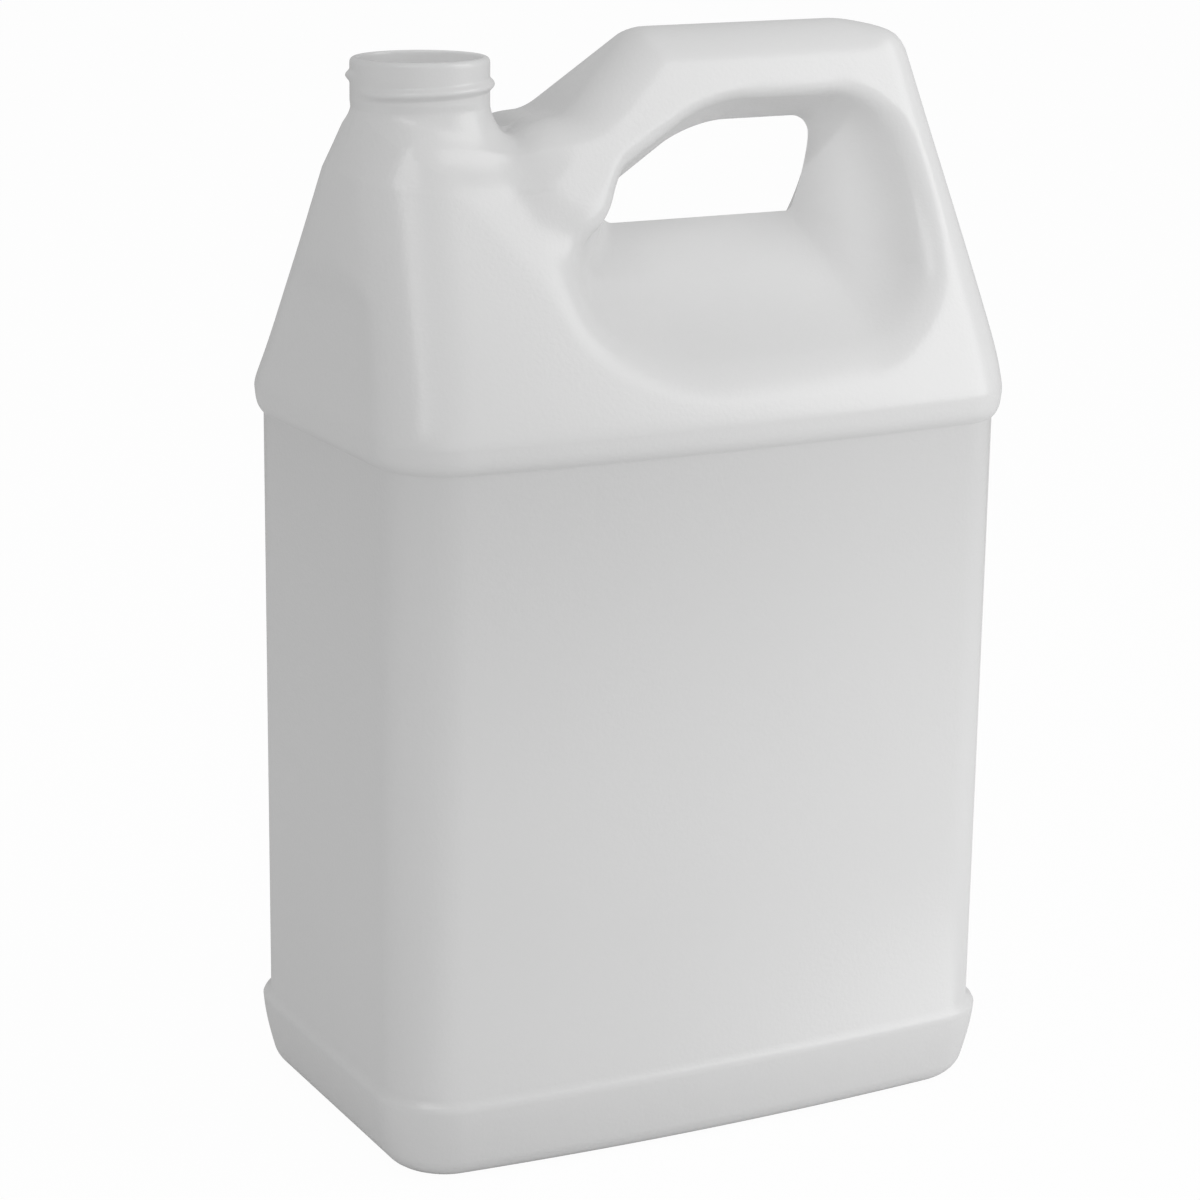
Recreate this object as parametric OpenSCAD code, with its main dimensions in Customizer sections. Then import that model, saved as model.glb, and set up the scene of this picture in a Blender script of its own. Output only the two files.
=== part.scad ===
// Rectangular utility jug with a corner neck and a moulded-in hollow handle.
// One blow-moulded piece: real wall, open mouth, finger hole right through.
// Origin: middle of the footprint on the standing plane. Z is up, X runs
// along the width from the neck (-X) to the handle leg (+X), -Y is a broad face.

/* [Body] */
// width over the side panels at the middle of the body
panel_width = 173.2; // [168:0.1:179]
// depth over the broad panels at the corners, without their bow
panel_depth = 101.8; // [98:0.1:106]
// outward bow of each broad panel at its middle
face_bow = 3.8; // [2:0.1:5]
// radius of the upright corners at the shoulder crest
corner_radius = 17.4; // [14:0.1:20]
// how far the shoulder crest stands out past the panels
crest_out = 2.2; // [1.4:0.1:2.8]
// height of the shoulder crest over the standing plane
crest_z = 190.6; // [180:0.1:205]
// height of the sloping band under the crest
crest_band = 7; // [5:0.1:10]
// wall thickness
wall = 1.0; // [0.9:0.05:1.2]

/* [Base] */
// height of the sharp base ledge
ledge_z = 21.3; // [18:0.1:26]
// inset of the ledge from the crest line
ledge_inset = 0.2; // [0:0.1:0.8]
// inward taper between the ledge and the foot
foot_taper = 4.5; // [2.5:0.1:6]
// rounding of the bottom edge
foot_radius = 6; // [4.5:0.1:8]
// height of the push-up under the bottom
push_up = 2.5; // [1.5:0.1:4]

/* [Shoulder] */
// inward lean of the neck side over the crest, run per rise
lean_left = 0.12; // [0.1:0.005:0.14]
// inward lean of the handle side over the crest, run per rise
lean_right = 0.14; // [0.12:0.005:0.16]
// height of the saddle behind the neck over the crest
saddle_rise = 73.1; // [71:0.1:75]
// thickness of the handle bar along its top edge
bar_thick = 18.4; // [16.5:0.1:21]

/* [Handle] */
// height of the handle top over the crest
top_rise = 92.7; // [90:0.1:97]
// height of the sill of the finger hole over the crest
sill_rise = 42.9; // [40:0.1:45]
// height of the roof of the finger hole over the crest
roof_rise = 67.9; // [65.5:0.1:69.5]
// distance from the crest edge to the inner side of the handle leg
leg_width = 35.9; // [33:0.1:38]
// fall of the pocket floor, rise per run
floor_slope = 0.611; // [0.56:0.01:0.66]

/* [Neck] */
// distance from the crest edge to the neck axis
neck_inset = 29.3; // [28:0.1:31]
// outer radius of the neck
neck_radius = 17.4; // [16.8:0.1:17.8]
// radius of the mouth bore
bore_radius = 15.5; // [14.8:0.1:15.6]
// height of the rim over the saddle
rim_rise = 14.6; // [13.5:0.1:17]
// climb of the thread in one turn
thread_pitch = 4.23; // [3.6:0.01:4.6]
// how far the thread stands out of the neck
thread_out = 1.15; // [0.8:0.05:1.4]

/* [Hidden] */

// number of facets on round features
round_fn = 60;
// half width and half depth over the crest
half_w = panel_width / 2 + crest_out;
half_d = panel_depth / 2 + crest_out;
// heights over the standing plane
saddle_z = crest_z + saddle_rise;
top_z = crest_z + top_rise;
sill_z = crest_z + sill_rise;
roof_z = crest_z + roof_rise;
rim_z = saddle_z + rim_rise;
ring_z = saddle_z + 2.3;
// plan position of the neck axis and of the leg's inner side
neck_x = neck_inset - half_w;
leg_x = half_w - leg_width;
skin_neck_r = neck_radius - 0.35;
// fall of the front and back slopes, set by the thickness of the bar;
// leg_draft is the run per depth of the leg's inner side
soft_start = 2.5;
leg_draft = 0.66;
slope_y = (half_d - bar_thick / 2) / soften(top_rise, soft_start);

// rounded blends of two distance-like values: inside both, inside either
function hyp(a, b) = sqrt(a * a + b * b);
function both(a, b, r) = min(max(a, b), -r) + hyp(max(a + r, 0), max(b + r, 0));
function either(a, b, r) = -both(-a, -b, r);
function soften(h, k) = sqrt(h * h + k * k) - k;
function clip(t) = min(max(t, 0), 1);
function ease(t) = let(c = clip(t)) c * c * (3 - 2 * c);

// Distance-like value of the outer skin over the crest; negative inside.
// The wedge of the body, the pillar under the neck (lower), the handle
// (upper) and the cone under the neck are blended one into the other.
function wedge(x, y, z) =
    let(s = soften(max(z - crest_z, 0), soft_start), w = ease((x + 30) / 60),
        a = half_w - (1 - w) * (lean_left * s + 1.1 * (1 - exp(-s / 6)))
            - w * lean_right * soften(max(s - 4, 0), 6),
        b = half_d - slope_y * s
            + face_bow * clip(1 - s / 60) * clip(1 - pow(x / half_w, 2)),
        r = corner_radius - 0.08 * w * s,
        qx = abs(x) - (a - r), qy = y - (b - r))
    0.9 * (hyp(max(qx, 0), max(qy, 0)) + min(max(qx, qy), 0) - r);
// top of the handle: level top, slope down to the saddle, rounded far corner
function saddle_top(x, z) =
    z - saddle_z + 1.8 * ease((x - neck_x - 13) / 8) - 0.1 * max(x - neck_x - 25, 0);
function handle_top(x, z) =
    both(both(z - top_z,
              either((z - saddle_z - 1.3) * cos(40) - (x + 22.3) * sin(40), saddle_top(x, z), 1.5), 2.5),
         (x - half_w + 20.5) * sin(27) + (z - top_z) * cos(27), 5);
// room over the pocket floor and right of the pillar's slanted facet
function pocket(x, y, z) =
    both((sill_z - floor_slope * y - z) / hyp(1, floor_slope),
         -0.518 * (x + 10.1) - 0.57 * y - 0.638 * (z - sill_z - 0.6), 1 + 0.2 * y);
// room under the handle bar and left of the leg
function finger_room(x, y, z) =
    let(u1 = ((z - sill_z - 16.3) * cos(33.5) - (x - 3.9) * sin(33.5) - 0.5 * y) / hyp(1, 0.5),
        u2 = (z - sill_z - 0.6) * cos(74) - (x + 10.1) * sin(74) - 0.5 * y,
        u = both(u1, u2, 4),
        v = (z - roof_z - 0.48 * y) / hyp(1, 0.48),
        d = max(roof_z - 6.5 - z, 0),
        w = (x - leg_x + 0.11 * d + 0.0085 * d * d - leg_draft * y) / hyp(1, leg_draft))
    both(both(u, v, 5), w, 4.5 + 0.4 * y);
function lower_clay(x, y, z) =
    both(saddle_top(x, z), -pocket(x, y, z), 4);
// fill between pillar and handle root, a little under the face
function web(x, y, z, w) =
    both(0.836 * (x + 15) + 0.54 * y + 0.093 * (z - sill_z - 0.6), max(w + 2.2, saddle_top(x, z) + 7), 5);
function upper_clay(x, y, z) =
    both(both(handle_top(x, z), -finger_room(x, y, z), 1),
         -0.66 * (x + 9) - 0.112 * y - 0.743 * (z - sill_z), 9);
function skin(x, y, z) =
    let(w = wedge(x, y, z), root = pow(x + 25, 2) + pow(z - sill_z - 8, 2),
        g = either(either(lower_clay(x, y, z), web(x, y, z, w), 1 + 0.25 * y), upper_clay(x, y, z),
                   1 + 0.25 * y + 18 * exp(-root / 400)),
        edge = 3.5 + 5.5 * ease((handle_top(x, z) + 16) / 8) * (1 - ease((x - 62) / 14))
               + min(0.15 * max(saddle_z - 1.7 - z, 0), 2.5),
        rad = hyp(x - neck_x, y),
        cone = max(0.94 * (rad - skin_neck_r - 0.33 * max(ring_z - z, 0)),
                   sill_z - 8.5 - z, z - ring_z - 1),
        stem = max(rad - skin_neck_r, z - rim_z, saddle_z - 8.7 - z))
    either(either(both(w, g, edge), both(w, cone, 4), 5), stem, 1.2);

// distance along a ray to the skin, or to the inner side at a given depth
function value(c, d, t, depth) = let(p = c + d * t) skin(p.x, abs(p.y), p.z) + depth;
function march(c, d, depth, t, f) =
    let(t2 = t + max(0.8 * abs(f), 0.5), f2 = value(c, d, t2, depth))
    f2 >= 0 || t2 > 150 ? narrow(c, d, depth, t, f, t2, f2, 5)
                        : march(c, d, depth, t2, f2);
function narrow(c, d, depth, t0, f0, t1, f1, n) =
    let(t = t0 - f0 * (t1 - t0) / (f1 - f0))
    n == 0 ? t
    : let(f = value(c, d, t, depth))
      abs(f) < 0.0005 ? t
      : f < 0 ? narrow(c, d, depth, t, f, t1, f1 / 2, n - 1)
              : narrow(c, d, depth, t0, f0 / 2, t, f, n - 1);

// grid of the shoulder: columns run round the finger hole, rows run from
// the edge of the hole (row 0) to the crest ring, the outline or the neck
rows = 12;
n_side = 3;
n_corner = 5;
n_front = 12;
n_ring = 2 * (n_side + n_corner) + n_front;
c_corner = n_side + n_corner;
c_leg = n_ring;
c_arc = c_leg + 7;
c_top = c_arc + 5;
c_slope = c_top + 6;
c_saddle = c_slope + 8;
c_neck = c_saddle + 3;
c_left = c_neck + 12;
cols = c_left + 7;
// guide points in the middle plane for a few columns:
// [column, where the rays start, edge of the hole, point passed on the face]
guides = [
    [0, [neck_x + 9.5, sill_z - 12.5], [-9.5, sill_z + 2.3], [neck_x - 9.5, sill_z - 10.5]],
    [n_side, [neck_x + 10.5, sill_z - 15.5], [-9, sill_z + 1.1], [neck_x - 0.5, sill_z - 17.5]],
    [c_corner, [neck_x + 15.5, sill_z - 20.5], [-6.5, sill_z - 0.7], [neck_x + 13.5, sill_z - 20.5]],
    [n_ring / 2, [8, sill_z - 26.5], [18, sill_z - 1.5], [12, sill_z - 21.5]],
    [n_ring - c_corner, [half_w - 28.8, sill_z - 22.5], [41, sill_z - 1.5], [half_w - 26.8, sill_z - 21.5]],
    [n_ring - n_side, [half_w - 24.8, sill_z - 16.5], [45, sill_z], [half_w - 15.8, sill_z - 16.5]],
    [c_leg, [half_w - 23.8, sill_z - 12.5], [48, sill_z + 2.5], [half_w - 9.8, sill_z - 6.5]],
    [c_arc, [half_w - 21.8, roof_z - 4.5], [51, roof_z - 6.5], [half_w - 18.8, roof_z - 3.5]],
    [c_top, [56, top_z - 13.3], [47, roof_z - 0.5], [56, top_z - 12.3]],
    [c_slope, [6, top_z - 15.3], [16, roof_z - 2.5], [5, top_z - 14.3]],
    [c_saddle, [-26, saddle_z - 13.7], [-1, sill_z + 12.5], [-23, saddle_z - 8.7]],
    [c_neck, [neck_x + 13.5, saddle_z - 24.7], [-4.5, sill_z + 10.1], [neck_x + 21.5, saddle_z - 15.7]],
    [c_neck + 6, [neck_x + 7.5, saddle_z - 29.7], [-7, sill_z + 7.5], [neck_x + 5.5, saddle_z - 21.7]],
    [c_left, [neck_x + 4.5, saddle_z - 33.7], [-8.5, sill_z + 5.1], [neck_x - 7.5, saddle_z - 27.7]],
    [c_left + 2, [neck_x + 5.5, saddle_z - 35.7], [-9, sill_z + 4.3], [neck_x - 10.5, saddle_z - 31.7]],
    [cols, [neck_x + 9.5, sill_z - 12.5], [-9.5, sill_z + 2.3], [neck_x - 9.5, sill_z - 10.5]]
];
function guide(u, k, axis) = lookup(u, [for (g = guides) [g[0], g[k][axis]]]);

// point of a rounded-rectangle ring with bowed long sides, front half:
// 0 is the middle of the neck side, n_ring the middle of the handle side
function ring_half(i, off, z) =
    let(a = half_w + off, b = half_d + off, r = max(corner_radius + 0.8 * off, 2),
        s = i > n_ring / 2 ? -1 : 1, j = s > 0 ? i : n_ring - i,
        t = (j - n_side) / n_corner * 90,
        x = j <= n_side ? -a
            : j <= c_corner ? -(a - r) - r * cos(t)
            : -(a - r) + 2 * (a - r) * (j - c_corner) / n_front,
        y = j <= n_side ? -(b - r) * j / n_side
            : j <= c_corner ? -(b - r) - r * sin(t) : -b)
    [s * x, y - face_bow * clip(j / n_side) * clip(1 - pow(x / a, 2)), z];

function neck_ring(u, r) =
    let(t = 180 * (u - c_neck) / (c_left - c_neck))
    [neck_x + r * cos(t), -r * sin(t), ring_z];
// far end of each column: crest ring, outline in the middle plane or neck
function part_way(u, c0, c1, p, q) = p + (q - p) * (u - c0) / (c1 - c0);
function far_end(u, inset, neck_r) =
    u <= c_leg ? ring_half(u, -inset, crest_z)
    : u <= c_arc ? part_way(u, c_leg, c_arc, [half_w + 3.2, 0, crest_z], [half_w + 3.2, 0, top_z - 25.3])
    : u <= c_top ? let(t = 90 * (u - c_arc) / (c_top - c_arc))
        [half_w - 31.8 + 27 * cos(t), 0, top_z - 25.3 + 32 * sin(t)]
    : u <= c_slope ? part_way(u, c_top, c_slope, [57, 0, top_z + 6.7], [1, 0, top_z + 5.7])
    : u <= c_saddle ? part_way(u, c_slope, c_saddle, [1, 0, top_z + 5.7], [-34, 0, saddle_z + 4.3])
    : u < c_neck ? part_way(u, c_saddle, c_neck, [-34, 0, saddle_z + 4.3], [-40, 0, saddle_z + 4.3])
    : u <= c_left ? neck_ring(u, neck_r)
    : part_way(u, c_left, cols, [-half_w - 6.2, 0, ring_z], [-half_w - 6.2, 0, crest_z - 4]);
function fixed_end(u) = u <= c_leg || (u >= c_neck && u <= c_left);
function unit(p) = p / norm(p);
function grid_point(u, j, depth, neck_r) =
    let(c = [guide(u, 1, 0), 0, guide(u, 1, 1)],
        end = far_end(u, depth, neck_r), v = j / rows)
    j == rows && fixed_end(u) ? end
    : let(d0 = unit([guide(u, 2, 0), 0, guide(u, 2, 1)] - c), d1 = unit(end - c),
          m = unit([guide(u, 3, 0), -30, guide(u, 3, 1)] - c),
          d = unit(d0 * pow(1 - v, 2) + d1 * pow(v, 2) + m * 2 * v * (1 - v)),
          p = c + d * march(c, d, depth, 0, value(c, d, 0, depth)))
      j == 0 || j == rows ? [p.x, 0, p.z] : p;

// numbering of the points: front half, back half, then the rings below
half_n = cols * (rows + 1);
function in_plane(u, j) = j == 0 || (j == rows && (u == 0 || (u >= c_leg && u <= c_neck) || u >= c_left));
function id(side, u, j) =
    let(w = u % cols) (side == 0 || in_plane(w, j) ? 0 : half_n) + j * cols + w;
function ring_id(base, level, i) =
    let(w = i % (2 * n_ring))
    level == 0 ? (w <= n_ring ? id(0, w, rows) : id(1, 2 * n_ring - w, rows))
               : base + (level - 1) * 2 * n_ring + w;
function ring(off, z) =
    [for (i = [0 : 2 * n_ring - 1])
        i <= n_ring ? ring_half(i, off, z)
                    : let(p = ring_half(2 * n_ring - i, off, z)) [p.x, -p.y, p.z]];
function quad(a, b, c, d, flip) = flip ? [[a, c, b], [a, d, c]] : [[a, b, c], [a, c, d]];

// rings under the crest as [inset from the crest line, height]
band_inset = crest_out;
foot_inset = ledge_inset + foot_taper;
function taper_at(z) = ledge_inset + foot_taper * pow((ledge_z - z) / ledge_z, 1.5);
outer_rings = concat(
    [for (t = [0.2, 0.65, 1]) [band_inset * (0.25 * t + 0.75 * pow(t, 4)), crest_z - crest_band * t]],
    [[band_inset, ledge_z + 2], [ledge_inset + 0.55, ledge_z + 1], [ledge_inset, ledge_z],
     [taper_at((ledge_z + foot_radius) / 2), (ledge_z + foot_radius) / 2]],
    [for (t = [0, 30, 60, 90])
        let(z = foot_radius * (1 - sin(t))) [taper_at(z) + foot_radius * (1 - cos(t)), z]],
    [[foot_inset + foot_radius + 4, 0], [foot_inset + foot_radius + 9, push_up]]);
inner_rings = concat(
    [[band_inset * 0.5 + wall, crest_z - crest_band * 0.6], [band_inset + wall, crest_z - crest_band - 0.4],
     [band_inset + wall, ledge_z + 2.4], [ledge_inset + wall, ledge_z - 0.2]],
    [for (t = [0, 45, 90])
        let(z = foot_radius * (1 - sin(t)))
        [taper_at(z) + foot_radius * (1 - cos(t)) + wall * cos(t), z + wall * sin(t)]],
    [[foot_inset + foot_radius + 3.5, wall], [foot_inset + foot_radius + 8.5, push_up + wall]]);

function lower_faces(base, levels, flip) = concat(
    [for (l = [0 : levels - 1]) for (i = [0 : 2 * n_ring - 1])
        each quad(ring_id(base, l, i), ring_id(base, l, i + 1),
                  ring_id(base, l + 1, i + 1), ring_id(base, l + 1, i), flip)],
    [for (i = [0 : 2 * n_ring - 1])
        let(a = ring_id(base, levels, i), b = ring_id(base, levels, i + 1),
            c = base + levels * 2 * n_ring)
        flip ? [a, c, b] : [a, b, c]]);
function upper_faces(flip) =
    [for (side = [0, 1]) for (j = [0 : rows - 1]) for (u = [0 : cols - 1])
        each quad(id(side, u, j), id(side, u + 1, j), id(side, u + 1, j + 1),
                  id(side, u, j + 1), flip != (side == 1))];
function shoulder_points(depth, neck_r) =
    let(front = [for (j = [0 : rows]) for (u = [0 : cols - 1]) grid_point(u, j, depth, neck_r)])
    concat(front, [for (p = front) [p.x, -p.y, p.z]]);
function shifted(faces, n) = [for (f = faces) [for (k = f) k + n]];

// hollow shell: outer skin and inner skin joined at the neck
module shell() {
    outer = concat(shoulder_points(0, skin_neck_r), [for (l = outer_rings) each ring(-l[0], l[1])],
                   [[0, 0, push_up]]);
    inner = concat(shoulder_points(wall, bore_radius - 0.5), [for (l = inner_rings) each ring(-l[0], l[1])],
                   [[0, 0, push_up + wall]]);
    n = len(outer);
    mouth = [for (side = [0, 1]) for (u = [c_neck : c_left - 1])
        each quad(id(side, u, rows), id(side, u + 1, rows),
                  n + id(side, u + 1, rows), n + id(side, u, rows), side == 1)];
    polyhedron(concat(outer, inner),
        concat(upper_faces(false), lower_faces(2 * half_n, len(outer_rings), false), mouth,
               shifted(concat(upper_faces(true), lower_faces(2 * half_n, len(inner_rings), true)), n)),
        convexity = 12);
}

// neck finish: plain round wall with a rounded lip, bored after joining
module neck_wall() {
    lip = 0.9;
    low = ring_z - 0.8;
    translate([neck_x, 0, 0])
        rotate_extrude($fn = round_fn)
            polygon(concat([[0, low], [neck_radius, low]],
                [for (t = [0 : 22.5 : 90])
                    [neck_radius - lip * (1 - cos(t)), rim_z - lip * (1 - sin(t))]],
                [[0, rim_z]]));
}
module bore() {
    translate([neck_x, 0, saddle_z - 7])
        cylinder(r = bore_radius, h = rim_rise + 9, $fn = round_fn);
    translate([neck_x, 0, rim_z - 0.6])
        cylinder(r1 = bore_radius - 0.2, r2 = bore_radius + 0.8, h = 1, $fn = round_fn);
}
// single-start right-hand thread, one turn, running out into the wall
module thread() {
    steps = 36;
    z0 = rim_z - 8.5;
    root = neck_radius - 0.6;
    function out_at(t) = min(1, 9 * t, 9 * (1 - t));
    pts = [for (k = [0 : steps])
        let(t = k / steps, a = 180 + 360 * t, z = z0 + thread_pitch * t,
            r = neck_radius - 0.35 + (thread_out + 0.35) * out_at(t))
        each [for (q = [[root, -1.25], [r, -0.45], [r, 0.45], [root, 1.25]])
            [neck_x + q[0] * cos(a), q[0] * sin(a), z + q[1]]]];
    last = 4 * steps;
    polyhedron(pts, concat(
        [for (k = [0 : steps - 1]) for (e = [0 : 3])
            let(a = 4 * k + e, b = 4 * k + (e + 1) % 4)
            each quad(a, b, b + 4, a + 4, false)],
        [[0, 2, 1], [0, 3, 2], [last, last + 1, last + 2], [last, last + 2, last + 3]]),
        convexity = 4);
}

module jug() {
    color([0.86, 0.86, 0.84])
        difference() {
            union() {
                shell();
                neck_wall();
                thread();
            }
            bore();
        }
}

jug();
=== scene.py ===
"""Natural polyethylene jug with a corner neck and a hollow moulded-in handle.

One continuous wall: outer skin, neck with thread, rim, bore and inner skin.
Lengths are in millimetres until the mesh is written in metres. The jug
stands on z = 0, x runs from the neck to the handle's leg, and -y is the
broad face towards the camera. The back is the mirror image of the front.
"""
import bpy
import numpy as np
from mathutils import Matrix, Vector


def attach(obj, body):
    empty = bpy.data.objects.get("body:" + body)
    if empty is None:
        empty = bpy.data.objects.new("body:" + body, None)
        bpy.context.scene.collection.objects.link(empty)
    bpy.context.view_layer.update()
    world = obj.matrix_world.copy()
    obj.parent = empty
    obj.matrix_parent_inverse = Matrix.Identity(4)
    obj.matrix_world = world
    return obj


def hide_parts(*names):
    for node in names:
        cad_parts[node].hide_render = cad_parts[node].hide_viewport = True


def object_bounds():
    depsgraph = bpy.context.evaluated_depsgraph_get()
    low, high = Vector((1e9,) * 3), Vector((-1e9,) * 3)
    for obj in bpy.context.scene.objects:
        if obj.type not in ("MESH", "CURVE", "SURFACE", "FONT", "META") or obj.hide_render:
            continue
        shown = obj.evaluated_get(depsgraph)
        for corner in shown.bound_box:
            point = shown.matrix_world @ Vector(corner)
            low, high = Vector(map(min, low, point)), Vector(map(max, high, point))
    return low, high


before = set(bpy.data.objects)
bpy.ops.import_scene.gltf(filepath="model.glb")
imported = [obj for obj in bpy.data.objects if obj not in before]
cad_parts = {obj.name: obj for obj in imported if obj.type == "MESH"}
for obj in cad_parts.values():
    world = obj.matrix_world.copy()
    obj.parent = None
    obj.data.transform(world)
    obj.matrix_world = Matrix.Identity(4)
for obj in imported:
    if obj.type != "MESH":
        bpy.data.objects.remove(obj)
cad_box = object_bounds()

# Body: overall size from the frame, widest at the crest under the shoulder
FACE_BOW = 3.8                       # outward bow of the broad panels
HALF_W = round(cad_box[1][0] * 1000, 1)
HALF_D = round(cad_box[1][1] * 1000, 1) - FACE_BOW
CORNER_R = 17.4
CREST_Z, CREST_BAND, CREST_OUT = 190.6, 7.0, 2.2
LEDGE_Z, LEDGE_INSET = 21.3, 0.2     # step over the tapered foot
FOOT_TAPER, FOOT_R = 4.5, 6.0
PUSH_UP = 2.5                        # raised middle of the base
WALL = 1.0

# Heights over the crest
SILL_Z = CREST_Z + 42.9              # lower edge of the finger hole
ROOF_Z = CREST_Z + 67.9              # upper edge of the finger hole
SADDLE_Z = CREST_Z + 73.1            # dip between neck and handle
RING_Z = SADDLE_Z + 2.3              # foot of the neck
RIM_Z = SADDLE_Z + 14.6              # lip of the neck
TOP_Z = CREST_Z + 92.7               # top of the handle's bar

# Shoulder: the sides lean in by these shares of the height
LEAN_LEFT, LEAN_RIGHT = 0.12, 0.14
LEAN_CHANGE = 30                     # half the width where one turns into the other
TUCK, TUCK_RISE = 1.1, 6             # first quick step in on the neck side
RIGHT_START, RIGHT_SOFT = 4, 6       # later and softer start on the handle side
CREST_SOFT = 2.5                     # height over which the crest bends in
BOW_RISE = 60                        # height over which the bow fades out
CORNER_SHRINK = 0.08

# Handle, pocket and finger hole; points are x and z on the middle plane
BAR_THICK = 18.4
BAR_FOOT = (-22.3, SADDLE_Z + 1.3)   # where the bar's slope leaves the saddle
BAR_CORNER = (HALF_W - 20.5, TOP_Z)  # where the top is cut off at the far end
BAR_SLOPE, CORNER_SLOPE = 40, -27    # degrees
HOLE_FOOT = (-10.1, SILL_Z + 0.6)    # lower left corner of the finger hole
HOLE_HEAD = (3.9, SILL_Z + 16.3)     # upper left corner of the finger hole
HOLE_STEEP, HOLE_SLOPE = 74, 33.5    # degrees, from the foot and from the head on
HOLE_FLARE, ROOF_FLARE = 0.5, 0.48   # opening of its sides towards the face
LEG_X, LEG_DRAFT = HALF_W - 35.9, 0.66
LEG_BEND, LEG_LEAN, LEG_CURVE = 6.5, 0.11, 0.0085  # it widens from under the bar
FLOOR_SLOPE = 0.611                  # fall of the pocket's floor to the face
PILLAR_FACET = (-0.518, -0.57, -0.638)
WEB_FACE = (0.836, 0.54, 0.093)      # filling between pillar and handle
ROOT_CUT = (-0.66, -0.112, -0.743)   # underside of the handle's root
ROOT_AT, ROOT_REACH, ROOT_R = (-25, SILL_Z + 8), 20, 18  # wide blend of the root
EDGE_R, BAR_EDGE_R = 3.5, 9.0        # rounding of the edge along the face

# Neck and thread
NECK_X, NECK_R, BORE_R = 29.3 - HALF_W, 17.4, 15.5
SKIN_NECK_R = NECK_R - 0.35          # neck as the shoulder's blends see it
CONE_SLOPE, CONE_FOOT_Z = 0.33, SILL_Z - 8.5
STEM_FOOT_Z = SADDLE_Z - 8.7
LIP_R, BORE_EDGE_R, BORE_RINGS = 1.3, 0.6, 7
THREAD_PITCH, THREAD_OUT, THREAD_HALF = 4.23, 1.15, 1.75
THREAD_START_Z = RIM_Z - 8.5


def both(a, b, r):
    """Inside both volumes, their common edge rounded with radius r."""
    return (np.minimum(np.maximum(a, b), -r)
            + np.hypot(np.maximum(a + r, 0), np.maximum(b + r, 0)))


def either(a, b, r):
    """Inside either volume, the corner between them filled with radius r."""
    return -both(-a, -b, r)


def soften(h, k):
    """Grows like h but starts flat, over a height of about k."""
    return np.sqrt(h * h + k * k) - k


def clip(t):
    """t held between 0 and 1."""
    return np.clip(t, 0.0, 1.0)


def ease(t):
    """Smooth step from 0 to 1: t squared times three less two t."""
    t = clip(t)
    return t * t * (3 - 2 * t)


def plane(x, y, z, through, normal):
    """Height over a plane through a point (x, z) of the middle plane."""
    return normal[0] * (x - through[0]) + normal[1] * y + normal[2] * (z - through[1])


def rising(degrees, flare=0.0):
    """Normal of a plane that rises with x and, by the flare, with y."""
    t = np.radians(degrees)
    return -np.sin(t), -flare, np.cos(t)


SLOPE_Y = (HALF_D - BAR_THICK / 2) / soften(TOP_Z - CREST_Z, CREST_SOFT)


def wedge(x, y, z):
    """Rounded rectangle that narrows with height: the body over the crest.

    Half the width is the crest's less the lean of that side. Half the depth
    falls evenly to that of the handle's bar, and the face's bow, a parabola
    over the width, fades out. The factor keeps the value under the distance.
    """
    s = soften(np.maximum(z - CREST_Z, 0), CREST_SOFT)
    right = ease((x + LEAN_CHANGE) / (2 * LEAN_CHANGE))
    lean_left = LEAN_LEFT * s + TUCK * (1 - np.exp(-s / TUCK_RISE))
    lean_right = LEAN_RIGHT * soften(np.maximum(s - RIGHT_START, 0), RIGHT_SOFT)
    a = HALF_W - (1 - right) * lean_left - right * lean_right
    b = (HALF_D - SLOPE_Y * s
         + FACE_BOW * clip(1 - s / BOW_RISE) * clip(1 - (x / HALF_W) ** 2))
    r = CORNER_R - CORNER_SHRINK * right * s
    qx, qy = np.abs(x) - (a - r), y - (b - r)
    return 0.9 * (np.hypot(np.maximum(qx, 0), np.maximum(qy, 0))
                  + np.minimum(np.maximum(qx, qy), 0) - r)


def saddle_top(x, z):
    """Height over the saddle: a dip beside the neck, then a slight rise."""
    dip, dip_start, dip_run = 1.8, 13, 8
    rise, rise_start = 0.1, 25
    out = x - NECK_X
    return (z - SADDLE_Z + dip * ease((out - dip_start) / dip_run)
            - rise * np.maximum(out - rise_start, 0))


def handle_top(x, z):
    """Height over the bar's level top, its slope to the saddle and far corner."""
    slope = plane(x, 0, z, BAR_FOOT, rising(BAR_SLOPE))
    far = plane(x, 0, z, BAR_CORNER, rising(CORNER_SLOPE))
    slope = either(slope, saddle_top(x, z), 1.5)
    return both(both(z - TOP_Z, slope, 2.5), far, 5)


def pocket(x, y, z):
    """Room over the sloping floor and right of the pillar's slanted face."""
    floor = (SILL_Z - FLOOR_SLOPE * y - z) / np.hypot(1, FLOOR_SLOPE)
    facet = plane(x, y, z, HOLE_FOOT, PILLAR_FACET)
    return both(floor, facet, 1 + 0.2 * y)


def finger_room(x, y, z):
    """Room under the bar and left of the leg.

    Two planes bound it on the neck side and one under the bar. The leg's
    side moves left with the depth under the bar and with its square.
    """
    slope = plane(x, y, z, HOLE_HEAD, rising(HOLE_SLOPE, HOLE_FLARE))
    steep = plane(x, y, z, HOLE_FOOT, rising(HOLE_STEEP, HOLE_FLARE))
    left = both(slope / np.hypot(1, HOLE_FLARE), steep, 4)
    roof = plane(x, y, z, (0, ROOF_Z), rising(0, ROOF_FLARE)) / np.hypot(1, ROOF_FLARE)
    under = np.maximum(ROOF_Z - LEG_BEND - z, 0)
    leg = ((x - LEG_X + LEG_LEAN * under + LEG_CURVE * under * under - LEG_DRAFT * y)
           / np.hypot(1, LEG_DRAFT))
    return both(both(left, roof, 5), leg, 4.5 + 0.4 * y)


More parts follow.
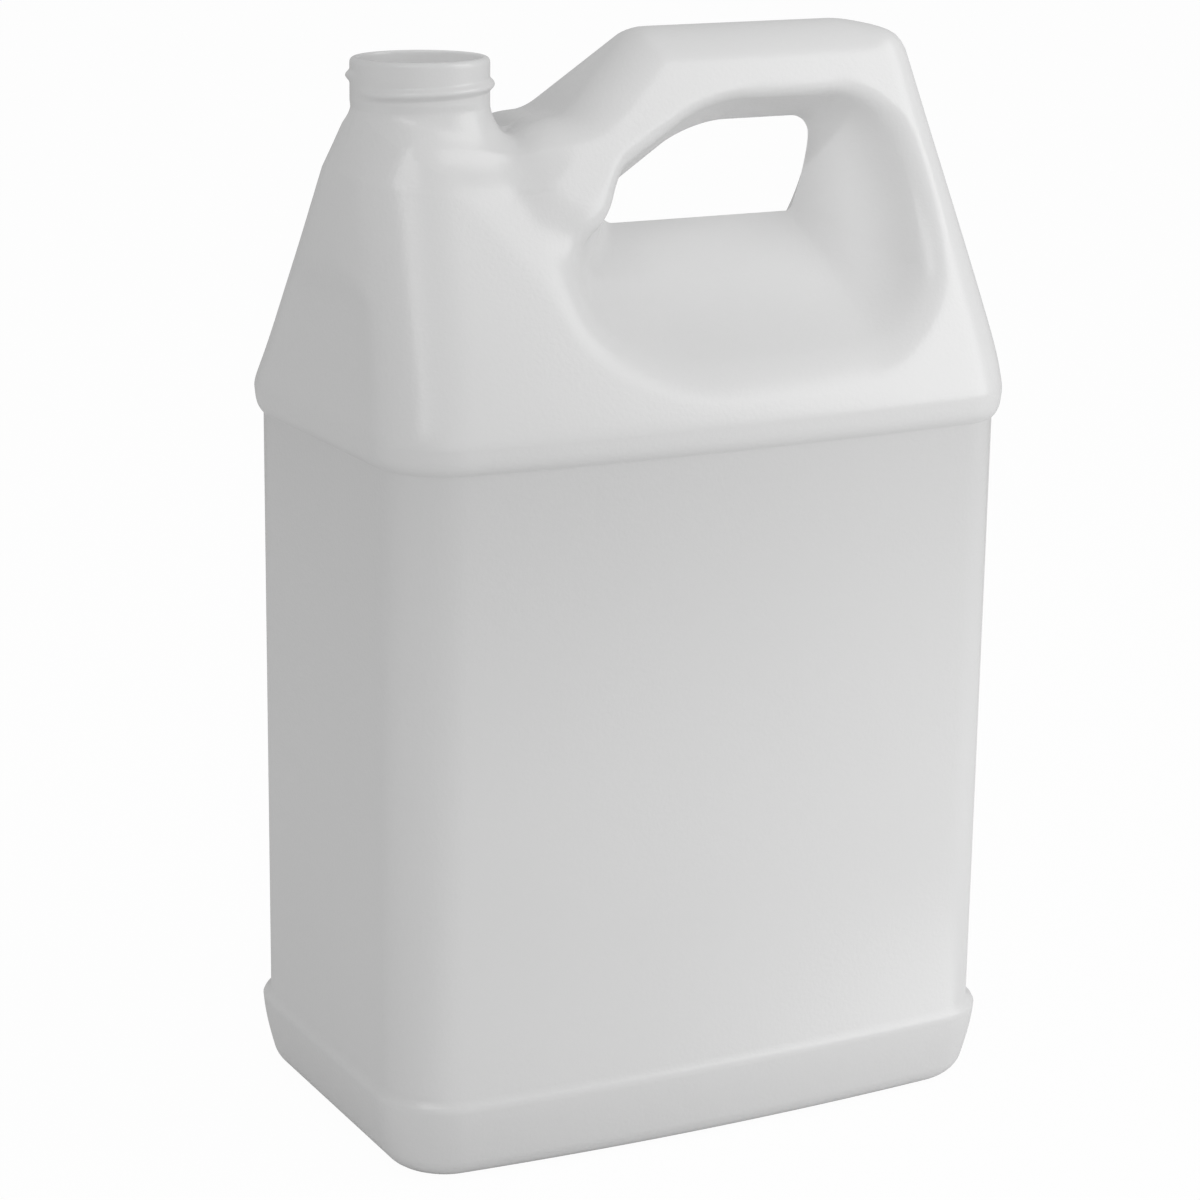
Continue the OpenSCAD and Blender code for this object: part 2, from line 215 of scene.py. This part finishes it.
def skin(x, y, z):
    """Distance-like value of the outer skin over the crest, negative inside.

    The wedge is cut by the pillar with its web (lower part) or by the handle
    (upper part). The two blend widely at the handle's root, by a radius that
    falls off like a bell around it. The neck's cone and stem are joined on.
    """
    w = wedge(x, y, z)
    saddle = saddle_top(x, z)
    top = handle_top(x, z)
    pillar = both(saddle, -pocket(x, y, z), 4)
    web = both(plane(x, y, z, (-15, HOLE_FOOT[1]), WEB_FACE),
               np.maximum(w + 2.2, saddle + 7), 5)
    lower = either(pillar, web, 1 + 0.25 * y)
    upper = both(both(top, -finger_room(x, y, z), 1),
                 plane(x, y, z, (-9, SILL_Z), ROOT_CUT), 9)
    root = np.exp(-((x - ROOT_AT[0]) ** 2 + (z - ROOT_AT[1]) ** 2) / ROOT_REACH ** 2)
    g = either(lower, upper, 1 + 0.25 * y + ROOT_R * root)

    # the edge is roundest beside the bar, down to 16 mm under its top
    beside_bar = ease((top + 16) / 8) * (1 - ease((x - 62) / 14))
    edge = (EDGE_R + (BAR_EDGE_R - EDGE_R) * beside_bar
            + np.minimum(0.15 * np.maximum(SADDLE_Z - 1.7 - z, 0), 0.5))

    rad = np.hypot(x - NECK_X, y)
    cone = np.maximum(
        0.94 * (rad - SKIN_NECK_R - CONE_SLOPE * np.maximum(RING_Z - z, 0)),
        np.maximum(CONE_FOOT_Z - z, z - RING_Z - 1))
    stem = np.maximum(np.maximum(rad - SKIN_NECK_R, z - RIM_Z), STEM_FOOT_Z - z)
    return either(either(both(w, g, edge), both(w, cone, 4), 5.5), stem, 1.2)


# Columns of the shoulder's grid, counted round the finger hole: along the
# crest from the neck side to the leg, up the leg, round the bar's far corner,
# back along the bar and the saddle, round the neck and down to the crest.
FINE = 4                             # columns in each step of this count
N_SIDE, N_CORNER, N_FRONT = 3, 5, 12
C_CORNER = N_SIDE + N_CORNER
N_RING = 2 * C_CORNER + N_FRONT
C_LEG = N_RING
C_ARC, C_TOP = C_LEG + 7, C_LEG + 12
C_SLOPE, C_SADDLE = C_TOP + 6, C_TOP + 14
C_NECK = C_SADDLE + 3
C_LEFT = C_NECK + 12
COLS = C_LEFT + 7
X0, W0, S0, R0, D0, T0 = NECK_X, HALF_W, SILL_Z, ROOF_Z, SADDLE_Z, TOP_Z
# column; then x and z of: the rays' start inside the wall, the point that
# they pass at the edge of the hole, the point that they pass on the face
GUIDES = np.array([
    (0, X0 + 9.5, S0 - 12.5, -9.5, S0 + 2.3, X0 - 9.5, S0 - 10.5),
    (N_SIDE, X0 + 10.5, S0 - 15.5, -9, S0 + 1.1, X0 - 0.5, S0 - 17.5),
    (C_CORNER, X0 + 15.5, S0 - 20.5, -6.5, S0 - 0.7, X0 + 13.5, S0 - 20.5),
    (N_RING / 2, 8, S0 - 26.5, 18, S0 - 1.5, 12, S0 - 21.5),
    (N_RING - C_CORNER, W0 - 28.8, S0 - 22.5, 41, S0 - 1.5, W0 - 26.8, S0 - 21.5),
    (N_RING - N_SIDE, W0 - 24.8, S0 - 16.5, 45, S0, W0 - 15.8, S0 - 16.5),
    (C_LEG, W0 - 23.8, S0 - 12.5, 48, S0 + 2.5, W0 - 9.8, S0 - 6.5),
    (C_ARC, W0 - 21.8, R0 - 4.5, 51, R0 - 6.5, W0 - 18.8, R0 - 3.5),
    (C_TOP, 56, T0 - 13.3, 47, R0 - 0.5, 56, T0 - 12.3),
    (C_SLOPE, 6, T0 - 15.3, 16, R0 - 2.5, 5, T0 - 14.3),
    (C_SADDLE, -26, D0 - 13.7, -1, S0 + 12.5, -23, D0 - 8.7),
    (C_NECK, X0 + 13.5, D0 - 24.7, -4.5, S0 + 10.1, X0 + 21.5, D0 - 15.7),
    (C_NECK + 6, X0 + 7.5, D0 - 29.7, -7, S0 + 7.5, X0 + 5.5, D0 - 21.7),
    (C_LEFT, X0 + 4.5, D0 - 33.7, -8.5, S0 + 5.1, X0 - 7.5, D0 - 27.7),
    (C_LEFT + 2, X0 + 5.5, D0 - 35.7, -9, S0 + 4.3, X0 - 10.5, D0 - 31.7),
    (COLS, X0 + 9.5, S0 - 12.5, -9.5, S0 + 2.3, X0 - 9.5, S0 - 10.5)], float)


def ring_half(i, off, z):
    """Front half of a rounded rectangle with bowed long sides.

    i runs from the middle of the neck side (0) to that of the handle side
    (N_RING); off moves the line outwards; z is its height. Each corner is a
    quarter circle and the bow is a parabola over the width.
    """
    i, off, z = np.broadcast_arrays(np.asarray(i, float), off, z)
    a, b = HALF_W + off, HALF_D + off
    r = np.maximum(CORNER_R + 0.8 * off, 2)
    far = i > N_RING / 2
    j = np.where(far, N_RING - i, i)
    t = np.radians(90) * clip((j - N_SIDE) / N_CORNER)
    flat = np.maximum(j - C_CORNER, 0) / N_FRONT
    x = np.where(j <= N_SIDE, -a, -(a - r) - r * np.cos(t) + 2 * (a - r) * flat)
    y = np.where(j <= N_SIDE, -(b - r) * j / N_SIDE, -(b - r) - r * np.sin(t))
    y = y - FACE_BOW * clip(j / N_SIDE) * clip(1 - (x / a) ** 2)
    return np.stack([np.where(far, -x, x), y, z + 0 * x], -1)


def far_end(u, inset, neck_r):
    """Where each column ends: crest ring, outline on y = 0, or neck.

    The outline's points lie a few millimetres outside the skin, on straight
    lines and an arc round the far corner of the bar.
    """
    def way(c0, c1, p, q):
        t = ((u - c0) / (c1 - c0))[:, None]
        return np.array(p) + (np.array(q) - np.array(p)) * t

    t = np.radians(90) * (u - C_ARC) / (C_TOP - C_ARC)
    arc_foot = TOP_Z - 25.3
    arc = np.stack([HALF_W - 31.8 + 27 * np.cos(t), 0 * t,
                    arc_foot + 32 * np.sin(t)], -1)
    t = np.pi * (u - C_NECK) / (C_LEFT - C_NECK)
    neck = np.stack([NECK_X + neck_r * np.cos(t), -neck_r * np.sin(t),
                     RING_Z + 0 * t], -1)
    beyond_left, beyond_leg = -HALF_W - 6.2, HALF_W + 3.2
    over_saddle, over_bend = (-34, 0, SADDLE_Z + 4.3), (1, 0, TOP_Z + 5.7)
    by_neck = (NECK_X + SKIN_NECK_R + 0.5, 0, RING_Z)
    end = way(C_LEFT, COLS, (beyond_left, 0, RING_Z), (beyond_left, 0, CREST_Z - 4))
    for last, piece in (
            (C_LEFT, neck),
            (C_NECK - 1e-6, way(C_SADDLE, C_NECK, over_saddle, by_neck)),
            (C_SADDLE, way(C_SLOPE, C_SADDLE, over_bend, over_saddle)),
            (C_SLOPE, way(C_TOP, C_SLOPE, (57, 0, TOP_Z + 6.7), over_bend)),
            (C_TOP, arc),
            (C_ARC, way(C_LEG, C_ARC, (beyond_leg, 0, CREST_Z), (beyond_leg, 0, arc_foot))),
            (C_LEG, ring_half(np.minimum(u, C_LEG), -inset, CREST_Z))):
        end = np.where((u <= last)[:, None], piece, end)
    return end


def unit(p):
    """Vectors scaled to length 1."""
    return p / np.linalg.norm(p, axis=-1, keepdims=True)


def value(p, depth):
    """The skin's value at points of either half, moved inwards by a depth."""
    return skin(p[..., 0], np.abs(p[..., 1]), p[..., 2]) + depth


def cast(start, way, depth):
    """First point of each ray at the given depth under the skin.

    Steps of 0.8 of the value find where its sign changes, then the interval
    is halved again and again.
    """
    lo = np.zeros(len(start))
    hi = np.full(len(start), np.nan)
    f = value(start, depth)
    for _ in range(90):
        going = np.isnan(hi)
        if not going.any():
            break
        t = lo[going] + np.maximum(0.8 * np.abs(f[going]), 0.25)
        g = value(start[going] + way[going] * t[:, None], depth)
        out = g >= 0
        hi[going] = np.where(out, t, np.nan)
        lo[going] = np.where(out, lo[going], t)
        f[going] = np.where(out, f[going], g)
    hi = np.where(np.isnan(hi), lo + 1, hi)
    for _ in range(16):
        mid = (lo + hi) / 2
        out = value(start + way * mid[:, None], depth) >= 0
        hi, lo = np.where(out, mid, hi), np.where(out, lo, mid)
    return start + way * hi[:, None]


def normals(p, depth):
    """Outward direction of the skin: the value's differences along x, y, z."""
    e = 0.05 * np.eye(3)
    grad = np.stack([value(p + e[k], depth) - value(p - e[k], depth) for k in range(3)], -1)
    at_middle = np.abs(p[..., 1]) < 0.2
    grad[..., 1] = np.where(at_middle, -np.abs(grad[..., 1]), grad[..., 1])
    return unit(grad)


def respace(p, measure, rows):
    """Rows of p at equal steps of a measure that is added up down each column."""
    total = np.vstack([0 * measure[:1], measure.cumsum(0)])
    share = total / total[-1]
    wanted = np.linspace(0, 1, rows + 1)[:, None]
    k = np.clip((share[:, None] <= wanted).sum(0), 1, len(p) - 1)
    lo, hi = (np.take_along_axis(share, k - back, 0) for back in (1, 0))
    t = ((wanted - lo) / (hi - lo))[..., None]
    k = k[..., None]
    return (1 - t) * np.take_along_axis(p, k - 1, 0) + t * np.take_along_axis(p, k, 0)


def shoulder(depth, neck_r, rows, fine):
    """Grid of the shoulder's front half, rows + 1 by FINE * COLS points.

    Each column's ray swings from the edge of the finger hole over the face
    to its far end, along a quadratic curve of directions. The rows are then
    spaced by a measure that adds the length along the column to how much
    the surface turns, so that they gather at edges and hollows.
    """
    u = np.arange(COLS * FINE) / FINE
    sx, sz, hole_x, hole_z, face_x, face_z = (
        np.interp(u, GUIDES[:, 0], GUIDES[:, c]) for c in range(1, 7))
    start = np.stack([sx, 0 * u, sz], -1)
    end = far_end(u, depth, neck_r)
    if depth == 0:
        # the outer neck ring lies on the skin itself, level with the ring
        turned = (u >= C_NECK) & (u <= C_LEFT)
        axis = np.broadcast_to((NECK_X, 0.0, RING_Z), (turned.sum(), 3))
        end[turned] = cast(axis, unit(end[turned] - axis), 0)
    first = unit(np.stack([hole_x, 0 * u, hole_z], -1) - start)
    middle = unit(np.stack([face_x, 0 * u - 30, face_z], -1) - start)
    last = unit(end - start)
    v = np.linspace(0, 1, fine + 1)[:, None, None]
    way = unit(first * (1 - v) ** 2 + last * v ** 2 + middle * 2 * v * (1 - v))
    p = cast(np.broadcast_to(start, way.shape).reshape(-1, 3),
             way.reshape(-1, 3), depth).reshape(way.shape)
    fixed = (u <= C_LEG) | ((u >= C_NECK) & (u <= C_LEFT))
    p[-1][fixed] = end[fixed]

    n = normals(p, depth)
    step = np.linalg.norm(np.diff(p, axis=0), axis=-1)
    turn = np.arccos(np.clip((n[1:] * n[:-1]).sum(-1), -1, 1))
    length = step.cumsum(0)
    near_ends = np.exp(-length / 1.2) + np.exp(-(length[-1] - length) / 1.2)
    measure = step * (1 + 2 * near_ends) + 9 * np.minimum(turn, 0.5)
    for _ in range(6):
        beside = np.roll(measure, 1, 1) + np.roll(measure, -1, 1)
        measure = (measure + 0.5 * beside) / 2
    grid = respace(p, measure, rows)
    grid[0, :, 1] = 0
    flat = ~fixed | np.isin(u, (0, C_LEG, C_NECK, C_LEFT))
    grid[-1, flat, 1] = 0
    return grid


class Wall:
    """Collects grids of points and the faces between them."""

    def __init__(self):
        self.points, self.quads, self.tris, self.count = [], [], [], 0

    def add(self, grid):
        """Keeps the grid's points and returns their numbers."""
        ids = self.count + np.arange(grid.shape[0] * grid.shape[1]).reshape(grid.shape[:2])
        self.points.append(grid.reshape(-1, 3))
        self.count += ids.size
        return ids

    def strip(self, ids, flip):
        """Quads between neighbouring rows, with the last column joined to the first."""
        b = np.roll(ids, -1, 1)
        q = np.stack([ids[:-1], ids[1:], b[1:], b[:-1]], -1).reshape(-1, 4)
        self.quads.append(q[:, ::-1] if flip else q)

    def skin_side(self, depth, neck_r, rows, fine, flip):
        """Both halves of the shoulder; returns the crest and neck loops."""
        front = shoulder(depth, neck_r, rows, fine)
        a = self.add(front)
        b = self.add(front * (1, -1, 1))
        b[0] = a[0]
        u = np.arange(COLS * FINE) / FINE
        shared = (u == 0) | ((u >= C_LEG) & (u <= C_NECK)) | (u >= C_LEFT)
        b[-1, shared] = a[-1, shared]
        self.strip(a, flip)
        self.strip(b, not flip)
        ring = FINE * N_RING
        crest = np.concatenate([a[-1, :ring + 1], b[-1, ring - 1:0:-1]])
        lo, hi = FINE * C_NECK, FINE * C_LEFT
        neck = np.concatenate([a[-1, lo:hi + 1], b[-1, hi - 1:lo:-1]])
        return crest, neck

    def body(self, crest, profile, flip):
        """Rings under the crest from (inset, height) pairs, closed at the middle."""
        i = np.arange(2 * FINE * N_RING) / FINE
        back = i > N_RING
        off, z = -profile[:, :1], profile[:, 1:]
        p = ring_half(np.where(back, 2 * N_RING - i, i)[None], off, z)
        p[..., 1] *= np.where(back, -1, 1)
        middle = p[-1].mean(0)
        closing = np.array((0.75, 0.5, 0.25, 0.04))[:, None, None]
        base = middle + (p[-1] - middle) * closing
        ids = np.vstack([crest, self.add(p), self.add(base)])
        self.strip(ids, flip)
        tip = self.add(middle[None, None])[0, 0]
        edge = ids[-1]
        tri = np.stack([edge, np.full_like(edge, tip), np.roll(edge, -1)], -1)
        self.tris.append(tri[:, ::-1] if flip else tri)

    def mesh(self, name, inner):
        """The finished object, with a point attribute that marks the inner skin."""
        me = bpy.data.meshes.new(name)
        points = np.concatenate(self.points) / 1000
        faces = np.concatenate(self.quads).tolist() + np.concatenate(self.tris).tolist()
        me.from_pydata(points.tolist(), [], faces)
        me.polygons.foreach_set("use_smooth", [True] * len(me.polygons))
        me.attributes.new("inner", "FLOAT", "POINT").data.foreach_set("value", inner)
        me.update()
        ob = bpy.data.objects.new(name, me)
        bpy.context.collection.objects.link(ob)
        return ob


def taper_at(z):
    """Inset between ledge and foot, growing with the depth to the power 1.5."""
    return LEDGE_INSET + FOOT_TAPER * (clip((LEDGE_Z - z) / LEDGE_Z)) ** 1.5


def body_profile(depth, fine):
    """(inset, height) pairs from under the crest to the push-up.

    The crest's band falls in by a quarter line and three quarters fourth
    power, and the foot's edge is a quarter circle on the taper. A depth
    moves each point inwards, across the line of the profile.
    """
    t = np.linspace(0.05, 1, 14 if fine else 4)
    band = np.stack([CREST_OUT * (0.25 * t + 0.75 * t ** 4), CREST_Z - CREST_BAND * t], -1)
    ledge = [(CREST_OUT, LEDGE_Z + 2.2), (LEDGE_INSET + 0.5, LEDGE_Z + 0.8),
             (LEDGE_INSET, LEDGE_Z - 0.2)]
    z = np.linspace(LEDGE_Z - 1.2, FOOT_R, 8 if fine else 3)
    side = np.stack([taper_at(z), z], -1)
    t = np.linspace(0.12, np.pi / 2, 10 if fine else 4)
    z = FOOT_R * (1 - np.sin(t))
    foot = np.stack([taper_at(z) + FOOT_R * (1 - np.cos(t)), z], -1)
    edge = LEDGE_INSET + FOOT_TAPER + FOOT_R
    under = [(edge + 3.6, 0), (edge + 9, PUSH_UP)]
    p = np.concatenate([band, ledge, side, foot, under])
    along = unit(np.gradient(p, axis=0))
    return p + depth * np.stack([-along[:, 1], along[:, 0]], -1)


def neck_loops(ring):
    """Rings from the shoulder up the neck, over the rim and down the bore.

    The first rings pass from the radius of the shoulder's own ring to that
    of the neck. The radius of the outer rings adds the thread: a rounded
    ridge on a right-hand helix of one turn, which fades in and out over a
    ninth of a turn at its ends.
    """
    t = 2 * np.pi * np.arange(len(ring)) / len(ring)
    foot = np.hypot(ring[:, 0] - NECK_X, ring[:, 1])[None] - NECK_R
    z_out = np.concatenate([[RING_Z + 0.35, RING_Z + 0.75],
                            np.linspace(RING_Z + 1.2, RIM_Z - 1.6, 52)])
    lip = np.radians(np.linspace(12, 90, 7))
    inn = np.radians(np.linspace(0, 90, 5)[1:])
    z_bore = np.linspace(RIM_Z - 1.4, RING_Z, BORE_RINGS, endpoint=False)
    r = np.concatenate([np.full(len(z_out), NECK_R),
                        NECK_R - LIP_R * (1 - np.cos(lip)),
                        BORE_R + BORE_EDGE_R * (1 - np.sin(inn)),
                        np.full(BORE_RINGS, BORE_R)])[:, None]
    z = np.concatenate([z_out, RIM_Z - LIP_R * (1 - np.sin(lip)),
                        RIM_Z - BORE_EDGE_R * (1 - np.cos(inn)), z_bore])[:, None]
    outer = np.arange(len(z))[:, None] < len(z_out)
    # columns run from the handle side (angle 0) through the front (-y)
    a = -t[None]
    turn = np.mod(np.degrees(a) - 180, 360) / 360
    ridge = 0
    for k in (-1, 0, 1):
        along = turn + k
        h = 1.05 - np.abs(z - THREAD_START_Z - THREAD_PITCH * along) / THREAD_HALF
        ridge = np.maximum(ridge, ease(h) * ease(9 * along) * ease(9 * (1.02 - along)))
    r = r + outer * (THREAD_OUT * ridge + foot * (1 - ease((z - RING_Z) / 2)))
    return np.stack([NECK_X + r * np.cos(a), r * np.sin(a), z + 0 * a], -1)


def jug_wall():
    """Outer skin and body, inner skin and body, and the neck between them."""
    wall = Wall()
    crest, neck = wall.skin_side(0, SKIN_NECK_R, 60, 260, False)
    wall.body(crest, body_profile(0, True), False)
    outside = wall.count
    crest_in, neck_in = wall.skin_side(WALL, BORE_R, 26, 110, True)
    wall.body(crest_in, body_profile(WALL, False), True)
    inside = wall.count
    loops = wall.add(neck_loops(np.concatenate(wall.points)[neck]))
    wall.strip(np.vstack([neck, loops, neck_in]), False)
    inner = np.zeros(wall.count)
    inner[outside:inside] = 1
    # the bore's rings take a share of the inner skin's painted glow, none at the top, more
    # towards the foot
    inner[loops[-BORE_RINGS:]] = np.linspace(0, 1, BORE_RINGS, endpoint=False)[:, None]
    return wall.mesh("jug_wall", inner)


class Sock:
    """A socket that turns Python arithmetic into Math nodes."""

    def __init__(self, tree, socket):
        self.tree, self.socket = tree, socket

    def _math(self, op, other, swap=False):
        node = self.tree.nodes.new("ShaderNodeMath")
        node.operation = op
        for slot, val in zip(node.inputs, (other, self) if swap else (self, other)):
            if isinstance(val, Sock):
                self.tree.links.new(val.socket, slot)
            else:
                slot.default_value = val
        return Sock(self.tree, node.outputs[0])

    def __add__(self, o): return self._math("ADD", o)
    __radd__ = __add__
    def __sub__(self, o): return self._math("SUBTRACT", o)
    def __rsub__(self, o): return self._math("SUBTRACT", o, True)
    def __mul__(self, o): return self._math("MULTIPLY", o)
    __rmul__ = __mul__
    def __truediv__(self, o): return self._math("DIVIDE", o)
    def __rtruediv__(self, o): return self._math("DIVIDE", o, True)
    def __pow__(self, o): return self._math("POWER", o)
    def __abs__(self): return self._math("ABSOLUTE", 0)

    def ramp(self, lo, hi):
        """Smooth step: 0 under lo, 1 over hi."""
        t = ((self - lo) / (hi - lo))._math("MAXIMUM", 0)._math("MINIMUM", 1)
        return t * t * (3 - 2 * t)


class Nodes:
    """The nodes of one material or world, all made by one method."""

    def __init__(self, owner):
        owner.use_nodes = True
        self.tree = owner.node_tree
        self.tree.nodes.clear()

    def node(self, kind, settings=None, **inputs):
        """A node of a type, its settings, then its sockets by name or number."""
        n = self.tree.nodes.new("ShaderNode" + kind)
        for key, val in (settings or {}).items():
            setattr(n, key, val)
        for key, val in inputs.items():
            numbered = key[0] == "i" and key[1:].isdigit()
            slot = n.inputs[int(key[1:]) if numbered else key.replace("_", " ")]
            if isinstance(val, Sock):
                self.tree.links.new(val.socket, slot)
            else:
                slot.default_value = val
        return n

    def take(self, n, out=0):
        """A node's output, ready for arithmetic."""
        return Sock(self.tree, n.outputs[out])

    def grey(self, tone):
        """A colour with the same tone in red, green and blue."""
        return self.take(self.node("CombineColor", i0=tone, i1=tone, i2=tone))


def polyethylene():
    """Natural translucent plastic: milky, satin, faintly cloudy.

    The tone is a base value plus a little cloud, and painted light: lighter
    in the finger pocket and more on its leg wall, lighter towards the handle
    side, a little painted shade on the neck, and inside the neck's opening
    darker on the left and lighter on the right. The inner skin has a faint
    painted glow.
    """
    mat = bpy.data.materials.new("natural_polyethylene")
    s = Nodes(mat)
    place = s.take(s.node("TexCoord"), "Object")
    cloud = s.take(s.node("TexNoise", Vector=place, Scale=18.0, Detail=3.0, Roughness=0.5))
    grain = s.take(s.node("TexNoise", Vector=place, Scale=900.0, Detail=2.0, Roughness=0.5))
    split = s.node("SeparateXYZ", Vector=place)
    x, y, z = (s.take(split, k) * 1000 for k in range(3))

    # painted light: the finger pocket a little lighter and its leg wall more, for light that
    # comes through the thin plastic
    face_y = HALF_D - 5 - SLOPE_Y * (z - CREST_Z - 2)
    across = x.ramp(-25, 5) * (75 - x).ramp(0, 8)
    upright = (z - CREST_Z).ramp(3, 14) * (TOP_Z - 8 - z).ramp(0, 8)
    pocket_painted_light = (face_y - abs(y)).ramp(0, 16) * across * upright
    leg_wall_painted_light = x.ramp(48, 62)
    # painted shade: the neck a little darker than the body
    rim = (z - RING_Z + 3).ramp(0, 8) * (NECK_X + 24 - x).ramp(0, 4)
    # painted light inside the neck's opening: darker on the left, lighter on the right
    axis = ((x - NECK_X) * (x - NECK_X) + y * y) ** 0.5
    mouth = (16.6 - axis).ramp(0, 0.6) * (z - RING_Z + 6).ramp(0, 4)
    # painted light: the last term makes the tone rise towards the handle side, as if lit from
    # the right
    white = (0.715 + 0.02 * cloud + (0.04 + 0.12 * leg_wall_painted_light) * pocket_painted_light
             - 0.01 * rim + mouth * (0.02 + 0.008 * (x - NECK_X))
             + 0.055 * (x / HALF_W))
    bump = s.take(s.node("Bump", Strength=0.12, Distance=0.0004, Height=grain))
    # a painted glow on the inner skin stands in for the daylight that comes through the thin
    # wall
    through = 0.12 * s.take(s.node("Attribute", {"attribute_name": "inner"}), "Fac")
    plastic = s.node("BsdfPrincipled", Base_Color=s.grey(white), IOR=1.52,
                     Roughness=0.25 + 0.03 * cloud, Normal=bump,
                     Emission_Color=s.grey(through), Emission_Strength=1.0)
    s.node("OutputMaterial", Surface=s.take(plastic))
    mat.cycles.emission_sampling = "NONE"
    return mat


jug = jug_wall()
jug.data.materials.append(polyethylene())
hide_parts("jug")
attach(jug, "root")


# Camera, from a fit of the jug's outline in the 1200 x 1200 photograph
PHOTO_PX, FOCAL_PX, CENTRE_PX = 1200, 3301.6, 430.0
YAW, PITCH = -25.187, 14.997         # degrees
CAMERA_AT = (-406.71, -744.23, 359.44)
SENSOR = 36


def place_object(ob, right, up, back, at):
    """Puts a camera or lamp at a point, its axes along three directions."""
    rows = [[right[k], up[k], back[k], at[k]] for k in range(3)]
    ob.matrix_world = Matrix(rows + [[0, 0, 0, 1]])
    bpy.context.collection.objects.link(ob)


def photo_camera():
    """Camera at the photograph's place."""
    yaw, pitch = np.radians(YAW), np.radians(PITCH)
    back = np.array([np.sin(yaw) * np.cos(pitch), -np.cos(yaw) * np.cos(pitch), np.sin(pitch)])
    right = unit(np.cross(-back, (0, 0, 1)))
    cam = bpy.data.cameras.new("camera")
    cam.sensor_width = SENSOR
    cam.lens = FOCAL_PX / PHOTO_PX * SENSOR
    cam.shift_x = (PHOTO_PX / 2 - CENTRE_PX) / PHOTO_PX
    cam.clip_start, cam.clip_end = 0.01, 50
    ob = bpy.data.objects.new("camera", cam)
    place_object(ob, right, np.cross(right, -back), back, np.array(CAMERA_AT) / 1000)
    bpy.context.scene.camera = ob


def lamp(name, at, aim, width, height, watts, along=(0, 0, 1), gloss=True):
    """Rectangular lamp at a point in metres, facing aim, its height along a direction."""
    data = bpy.data.lights.new(name, "AREA")
    data.shape, data.size, data.size_y = "RECTANGLE", width, height
    data.energy = watts
    ob = bpy.data.objects.new(name, data)
    ob.visible_glossy = gloss
    back = (Vector(at) - Vector(aim)).normalized()
    right = Vector(along).cross(back).normalized()
    place_object(ob, right, back.cross(right), back, at)


def studio():
    """Pale floor, even world light and large soft lamps."""
    me = bpy.data.meshes.new("floor")
    me.from_pydata([(-6, -6, 0), (6, -6, 0), (6, 6, 0), (-6, 6, 0)], [], [(0, 1, 2, 3)])
    floor = bpy.data.objects.new("floor", me)
    bpy.context.collection.objects.link(floor)
    mat = bpy.data.materials.new("studio_floor")
    s = Nodes(mat)
    seen = s.take(s.node("LightPath"), "Is Camera Ray")
    matt = s.node("BsdfDiffuse", Color=(0.82, 0.82, 0.82, 1))
    white = s.node("Emission", Color=(1, 1, 1, 1), Strength=1.0)
    mix = s.node("MixShader", i0=seen * 0.97, i1=s.take(matt), i2=s.take(white))
    s.node("OutputMaterial", Surface=s.take(mix))
    me.materials.append(mat)

    world = bpy.data.worlds.new("studio")
    bpy.context.scene.world = world
    s = Nodes(world)
    seen = s.take(s.node("LightPath"), "Is Camera Ray")
    soft = s.node("Background", Color=(1, 1, 1, 1), Strength=0.52)
    plain_white = s.node("Background", Color=(1, 1, 1, 1), Strength=1.0)
    mix = s.node("MixShader", i0=seen, i1=s.take(soft), i2=s.take(plain_white))
    s.node("OutputWorld", Surface=s.take(mix))

    middle = (0, 0, 0.13)
    lamp("right", (0.82, -0.62, 0.66), middle, 0.75, 1.0, 4.8)
    lamp("left", (-1.6, -0.25, 0.45), middle, 1.2, 1.2, 1.9, gloss=False)
    lamp("front", (-0.55, -2.05, 0.7), middle, 1.6, 1.6, 5, gloss=False)
    # narrow lamp for the bright streak down the corner of the shoulder
    lamp("left_strip", (-0.77, -0.72, 1.255), (-0.08, -0.04, 0.22), 0.08, 1.0, 2.4,
         along=(0.8, -0.25, 0.5))


photo_camera()
studio()
bpy.context.scene.view_settings.view_transform = "Standard"
